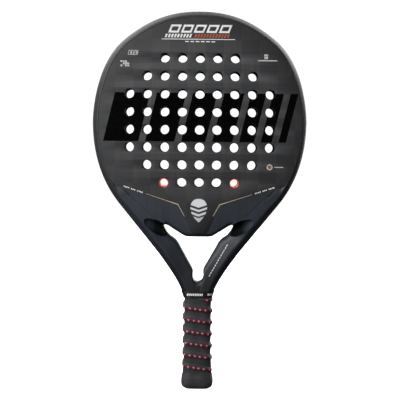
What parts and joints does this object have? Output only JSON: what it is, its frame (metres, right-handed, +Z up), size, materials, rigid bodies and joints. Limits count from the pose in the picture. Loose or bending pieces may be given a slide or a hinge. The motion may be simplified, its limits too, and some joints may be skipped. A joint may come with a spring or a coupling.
{
  "type": "padel racket",
  "caption": "Padel racket with a round drilled head, hollow moulded frame, open V throat and a short handle with a ribbed overgrip.",
  "frame": {"origin": "centre of the butt end, at the lowest point of the handle", "axes": "+Z up the handle to the crown of the head, front hitting face towards -Y, +X to the right when the front face is seen"},
  "size_m": [0.257, 0.038, 0.4555],
  "materials": {
    "carbon_lacquer": "satin clear coat over moulded carbon fibre",
    "carbon_face": "satin clear coat over spread-tow carbon laminate",
    "eva_foam": "matt closed-cell foam, dark where the drill passed",
    "red_sleeve": "glossy translucent moulded sleeve",
    "handle_foam": "rigid foam and resin",
    "cap_plastic": "fine moulded texture",
    "grip_cushion": "matt cushioned grip tape",
    "overgrip_pu": "tacky dry polyurethane wrap",
    "stud_red": "satin red studs",
    "tape_black": "smooth finishing tape",
    "gloss_black_film": "gloss black print",
    "white_film": "satin white print",
    "orange_film": "satin orange print",
    "silver_film": "satin silver-grey print",
    "gold_film": "fine metallic line print"
  },
  "bodies": {
    "root": {"frame_tube": "carbon_lacquer", "throat_bridge": "carbon_lacquer", "head_core": "eva_foam", "front_face": "carbon_face", "back_face": "carbon_face", "hole_sleeve_left": "red_sleeve", "hole_sleeve_right": "red_sleeve", "handle_filler": "handle_foam", "butt_cap": "cap_plastic", "base_grip": "grip_cushion", "overgrip": "overgrip_pu", "grip_rib": "overgrip_pu", "rib_studs": "stud_red", "finishing_tape": "tape_black", "front_band": "gloss_black_film", "back_band": "gloss_black_film", "header_print": "white_film", "header_accent": "orange_film", "side_marks": "white_film", "front_badge": "silver_film", "back_badge": "silver_film", "stripe_left": "gold_film", "stripe_right": "gold_film", "dashes_left": "white_film", "dashes_right": "white_film"}
  },
  "joints": []
}
